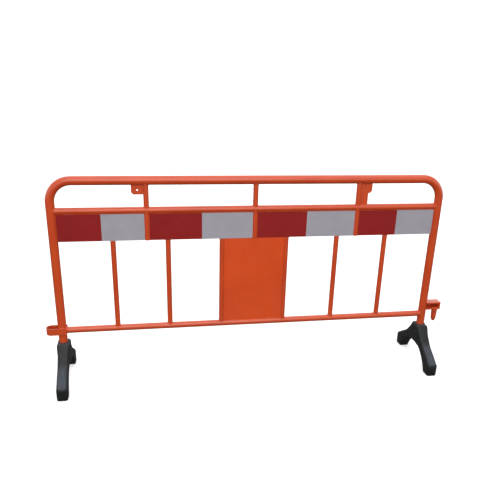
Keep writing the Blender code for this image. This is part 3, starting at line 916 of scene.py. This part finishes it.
def hook_strap(low, high, start, paint):
    """The strap's flat loop, open towards the leg, and the plate that closes its back."""
    plate, bend, inner_bend = HOOK_PLATE, HOOK_BEND_R, HOOK_INNER_R
    corner_x = high.x - bend
    inner_x = high.x - plate - inner_bend
    outline = [(start, high.z), *arc((corner_x, high.z - bend), bend, 90, 0, HOOK_BEND_STEPS),
               *arc((corner_x, low.z + bend), bend, 0, -90, HOOK_BEND_STEPS), (start, low.z),
               (start, low.z + plate),
               *arc((inner_x, low.z + plate + inner_bend), inner_bend, -90, 0, HOOK_INNER_STEPS),
               *arc((inner_x, high.z - plate - inner_bend), inner_bend, 0, 90, HOOK_INNER_STEPS),
               (start, high.z - plate)]
    bm = plate_bmesh(outline, high.y - low.y)
    stand_up(bm)
    fine("hook_strap", bm, paint, crease=PLATE_CREASE)
    rim = plate - BITE
    back_x, back_low, back_high = high.x - rim, low.z + rim, high.z - rim
    back = [(start, back_low), (back_x, back_low), (back_x, back_high), (start, back_high)]
    bm = plate_bmesh(back, HOOK_BACK)
    stand_up(bm)
    move(bm, y=high.y - HOOK_BACK_INSET - HOOK_BACK / 2)
    place("hook_back_fine", bm, paint, FRAME_BODY, (), PLATE_CREASE)


def hook_pin(neck, paint):
    """The slightly tapered pin with a rounded nose and a softened upper rim."""
    low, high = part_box("hook_pin")
    r = (high.x - low.x) / 2
    top = high.z + PIN_RISE
    profile = [(0, top), (r - PIN_RIM, top), (r - PIN_RIM_MIDDLE, top - PIN_RIM_MIDDLE),
               (r, top - PIN_RIM), (r, neck)]
    for i in range(PIN_NOSE_STEPS + 1):
        angle = math.pi / 2 * i / PIN_NOSE_STEPS
        drop = (PIN_SHOULDER_Z - low.z) * math.sin(angle)
        profile.append((PIN_SHOULDER_R * math.cos(angle), PIN_SHOULDER_Z - drop))
    bm = lathe_bmesh(profile)
    move(bm, x=(low.x + high.x) / 2)
    fine("hook_pin", bm, paint)


def hook(paint):
    low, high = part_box("hook_strap")
    hook_strap(low, high, LEG_X[1] + HOOK_START, paint)
    hook_pin(low.z, paint)
    pin_x, pin_r = middle("hook_pin").x, half_size("hook_pin").x
    beads = bmesh.new()
    for z in (low.z, low.z + HOOK_PLATE):
        bead(beads, level_ring(pin_x, z, pin_r, full_turn(PIN_WELD_STEPS)), True, seed=z)
    sweep = [-HOOK_WELD_TURN + 2 * HOOK_WELD_TURN * k / HOOK_WELD_STEPS for k in range(HOOK_WELD_STEPS + 1)]
    for z in (low.z, high.z):
        bead(beads, level_ring(LEG_X[1], z, MAIN_R, [math.radians(degrees) for degrees in sweep]), seed=z)
    weld("hook", beads, paint)


# ================= feet =================
def smooth_between(a, b, c, d, t):
    """Cubic curve from b at t = 0 to c at t = 1, with soft tangents from the points around them."""
    tangent_b = (c - a) * RIB_TENSION
    tangent_c = (d - b) * RIB_TENSION
    t2, t3 = t * t, t * t * t
    spot = b * (2 * t3 - 3 * t2 + 1) + tangent_b * (t3 - 2 * t2 + t)
    return spot + c * (3 * t2 - 2 * t3) + tangent_c * (t3 - t2)


def foot_ribs():
    """The outline's ribs with smooth ones between each pair."""
    ribs = [(Vector((0, *outer)), Vector((0, *inner))) for outer, inner in FOOT_RIBS]
    smooth = []
    for k in range(len(ribs) - 1):
        spots = [ribs[max(k - 1, 0)], ribs[k], ribs[k + 1], ribs[min(k + 2, len(ribs) - 1)]]
        for step in range(RIB_STEPS):
            smooth.append(tuple(smooth_between(*[s[end] for s in spots], step / RIB_STEPS) for end in (0, 1)))
    smooth.append(ribs[-1])
    return smooth


def ease(t):
    t = min(1.0, max(0.0, t))
    return t * t * (3 - 2 * t)


def foot_half_width(y):
    """Half the width at a distance from the pivot, with the toe's upright corners rounded."""
    y = abs(y)
    width = HUB_HALF - WAIST_IN * ease((y - HUB_END_Y) / WAIST_LENGTH)
    width -= TAPER_IN * ease((y - TAPER_START_Y) / TAPER_LENGTH)
    round_in = min(1.0, max(0.0, (y - TOE_Y + TOE_ROUND) / TOE_ROUND))
    return width - TOE_ROUND * (1 - math.sqrt(1 - round_in ** 2))


def foot_section(bm, outer, inner, sign):
    """A rounded section across a rib, softer along its upper edges than along its lower ones."""
    height = (inner - outer).length
    upper = min(UPPER_EDGE_R, height * UPPER_EDGE_SHARE)
    lower = min(LOWER_EDGE_R, height * LOWER_EDGE_SHARE)
    turns = [math.pi / 2 * k / EDGE_STEPS for k in range(EDGE_STEPS + 1)]
    sections = [(upper * (1 - math.sin(a)), upper * (1 - math.cos(a)) / height) for a in turns]
    sections += [(0.0, share) for share in SIDE_SHARES]
    sections += [(lower * (1 - math.sin(a)), 1 - lower * (1 - math.cos(a)) / height) for a in reversed(turns)]
    left, right = [], []
    for inset, t in sections:
        p = outer.lerp(inner, t)
        w = foot_half_width(p.y) - inset
        left.append(bm.verts.new((-w, sign * p.y, p.z)))
        right.append(bm.verts.new((w, sign * p.y, p.z)))
    return left + right[::-1]


def scratch_object(name, bm):
    bmesh.ops.recalc_face_normals(bm, faces=bm.faces)
    mesh = bpy.data.meshes.new(name)
    bm.to_mesh(mesh)
    bm.free()
    obj = bpy.data.objects.new(name, mesh)
    bpy.context.scene.collection.objects.link(obj)
    return obj


def combine(target, cutter_name, cutter_bm, operation):
    """Apply an exact Boolean with a cutter to the target, and remove the cutter."""
    cutter = scratch_object(cutter_name, cutter_bm)
    cut = target.modifiers.new("cut", "BOOLEAN")
    cut.object = cutter
    cut.operation = operation
    cut.solver = "EXACT"
    bpy.context.view_layer.update()
    mesh = bpy.data.meshes.new_from_object(target.evaluated_get(bpy.context.evaluated_depsgraph_get()))
    target.modifiers.clear()
    target.data = mesh
    bpy.data.objects.remove(cutter, do_unlink=True)


def round_bar(radius, low, high):
    return lathe_bmesh([(0, low), (radius, low), (radius, high), (0, high)])


def groove_bmesh(y, other_y):
    """A box for one groove across the sole, between two distances from the pivot."""
    low = Vector((-GROOVE_HALF_LENGTH, min(y, other_y), -CUTTER_SPARE))
    high = Vector((GROOVE_HALF_LENGTH, max(y, other_y), GROOVE_DEPTH))
    bm = bmesh.new()
    fit = Matrix.Translation((low + high) / 2) @ Matrix.Diagonal((high - low).to_4d())
    bmesh.ops.create_cube(bm, size=1.0, matrix=fit)
    return bm


def foot_body():
    """The arch of the foot, then its collar, socket, bolt hole and seat, and sole grooves."""
    ribs = foot_ribs()
    bm = bmesh.new()
    rear = [foot_section(bm, *rib, -1) for rib in ribs[:0:-1]]
    front = [foot_section(bm, *rib, 1) for rib in ribs]
    loft(bm, rear + front)
    foot = scratch_object("foot", bm)
    root = FOOT_TOP_Z - COLLAR_DEPTH
    collar = [(0, root), (COLLAR_R, root), *((r, FOOT_TOP_Z + rise) for r, rise in COLLAR_RIM),
              (0, FOOT_TOP_Z + COLLAR_RISE)]
    combine(foot, "collar", lathe_bmesh(collar), "UNION")
    rim = FOOT_TOP_Z + SOCKET_RIM
    mouth = SOCKET_R + SOCKET_LIP
    socket = [(0, SOCKET_FLOOR_Z), (SOCKET_R, SOCKET_FLOOR_Z), (SOCKET_R, rim - SOCKET_LIP), (mouth, rim),
              (mouth, rim + CUTTER_SPARE), (0, rim + CUTTER_SPARE)]
    combine(foot, "socket", lathe_bmesh(socket), "DIFFERENCE")
    combine(foot, "hole", round_bar(BOLT_HOLE_R, *BOLT_HOLE_Z), "DIFFERENCE")
    combine(foot, "seat", round_bar(BOLT_SEAT_R, *BOLT_SEAT_Z), "DIFFERENCE")
    for sign in (-1, 1):
        for y in GROOVES_Y:
            combine(foot, "groove", groove_bmesh(sign * y, sign * (y + GROOVE_WIDTH)), "DIFFERENCE")
    mesh = foot.data
    bpy.data.objects.remove(foot, do_unlink=True)
    return mesh


def hex_bolt():
    """Hexagon head with a chamfered face, and a plain shank."""
    low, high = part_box("foot_bolt_left")
    corner = half_size("foot_bolt_left").y
    half_face = math.pi / 6
    bm = bmesh.new()
    rings = []
    for share, z in HEAD_LEVELS:
        ring = []
        for angle in full_turn(BOLT_SIDES):
            from_middle = (angle + half_face) % (2 * half_face) - half_face
            r = min(corner * math.cos(half_face) / math.cos(from_middle), corner * share)
            ring.append(bm.verts.new((r * math.sin(angle), r * math.cos(angle), low.z + z)))
        rings.append(ring)
    shank = ((low.z + BOLT_HEAD, SHANK_R), (high.z - SHANK_CHAMFER, SHANK_R), (high.z, SHANK_END_R))
    for z, r in shank:
        rings.append([bm.verts.new((r * math.sin(a), r * math.cos(a), z)) for a in full_turn(BOLT_SIDES)])
    loft(bm, rings)
    return bm


def feet(rubber, zinc, nylon):
    body_mesh = foot_body()
    for side, x in zip(("left", "right"), LEG_X):
        bm = bmesh.new()
        bm.from_mesh(body_mesh)
        move(bm, x=x)
        foot = "foot_" + side
        place(foot + "_fine", bm, rubber, foot + "_body", [foot])
        bolt = hex_bolt()
        move(bolt, x=x)
        fine("foot_bolt_" + side, bolt, zinc)
        for node, material in (("foot_washer_" + side, zinc), ("leg_plug_" + side, nylon)):
            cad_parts[node].material_slots[0].material = material


# ================= stage, light and camera =================
def pale_ground():
    """A wide floor that throws no light and no reflection back onto the barrier."""
    bm = bmesh.new()
    bmesh.ops.create_grid(bm, x_segments=1, y_segments=1, size=FLOOR_SIZE / 2)
    mesh = bpy.data.meshes.new("floor")
    bm.to_mesh(mesh)
    bm.free()
    mesh.materials.append(pale_floor())
    floor = bpy.data.objects.new("floor", mesh)
    floor.visible_diffuse = False
    floor.visible_glossy = False
    bpy.context.scene.collection.objects.link(floor)


def sky():
    """A studio's white horizon, dimmer walls above it, a bright ceiling, and a dim ground below."""
    world = bpy.data.worlds.new("sky")
    world.use_nodes = True
    nodes = world.node_tree.nodes
    links = world.node_tree.links
    direction = nodes.new("ShaderNodeTexCoord")
    axes = nodes.new("ShaderNodeSeparateXYZ")
    height = nodes.new("ShaderNodeMapRange")
    height.inputs["From Min"].default_value = -1.0
    ramp = nodes.new("ShaderNodeValToRGB")
    steps = ramp.color_ramp.elements
    steps.remove(steps[1])
    for z, glow in SKY_STEPS:
        steps.new((z + 1) / 2).color = (glow, glow, glow, 1.0)
    steps.remove(steps[0])
    links.new(direction.outputs["Generated"], axes.inputs[0])
    links.new(axes.outputs["Z"], height.inputs["Value"])
    links.new(height.outputs["Result"], ramp.inputs["Fac"])
    links.new(ramp.outputs["Color"], nodes["Background"].inputs["Color"])
    nodes["Background"].inputs["Strength"].default_value = SKY_STRENGTH
    bpy.context.scene.world = world


def softbox():
    light = bpy.data.lights.new("softbox", "AREA")
    light.shape = "RECTANGLE"
    light.size, light.size_y = SOFTBOX_SIZE
    light.energy = SOFTBOX_POWER
    lamp = bpy.data.objects.new("softbox", light)
    lamp.location = SOFTBOX_AT
    lamp.rotation_euler = (Vector(SOFTBOX_AIM) - Vector(SOFTBOX_AT)).to_track_quat("-Z", "Y").to_euler()
    bpy.context.scene.collection.objects.link(lamp)


def camera():
    data = bpy.data.cameras.new("camera")
    data.sensor_width = CAMERA_SENSOR
    data.lens = CAMERA_LENS
    data.shift_x, data.shift_y = CAMERA_SHIFT
    data.clip_end = CAMERA_REACH
    eye = bpy.data.objects.new("camera", data)
    eye.location = CAMERA_AT
    turn = Matrix.Rotation(math.radians(-CAMERA_YAW), 3, "Z")
    tilt = Matrix.Rotation(math.radians(90 - CAMERA_PITCH), 3, "X")
    roll = Matrix.Rotation(math.radians(CAMERA_ROLL), 3, "Z")
    eye.rotation_euler = (turn @ tilt @ roll).to_euler()
    bpy.context.scene.collection.objects.link(eye)
    bpy.context.scene.camera = eye


def main():
    paint = orange_paint("orange_powder_coat", PAINT_PEEL, ORANGE, ORANGE_DEEP)
    sheet_paint = orange_paint("orange_sheet_coat", SHEET_PEEL, SHEET_ORANGE, SHEET_ORANGE_DEEP)
    red = reflective_film("red_prismatic_film", FILM_RED, FILM_RED_SEAM)
    white = reflective_film("white_prismatic_film", FILM_WHITE, FILM_WHITE_SEAM)
    main_tube(paint)
    cross_rail("mid_rail", paint)
    cross_rail("bottom_rail", paint)
    posts(paint)
    infill_bars(paint)
    for number in BOARDS:
        board(number, sheet_paint)
        film("red_sheeting_%d" % number, red)
        film("white_sheeting_%d" % number, white)
    board_welds(paint)
    centre_panel(sheet_paint)
    lamp_bracket("left", paint)
    lamp_bracket("right", paint)
    link_eye(paint)
    hook(paint)
    feet(black_rubber(), zinc_plate(), black_nylon())
    pale_ground()
    sky()
    softbox()
    camera()
    bpy.context.scene.view_settings.view_transform = "Standard"


main()
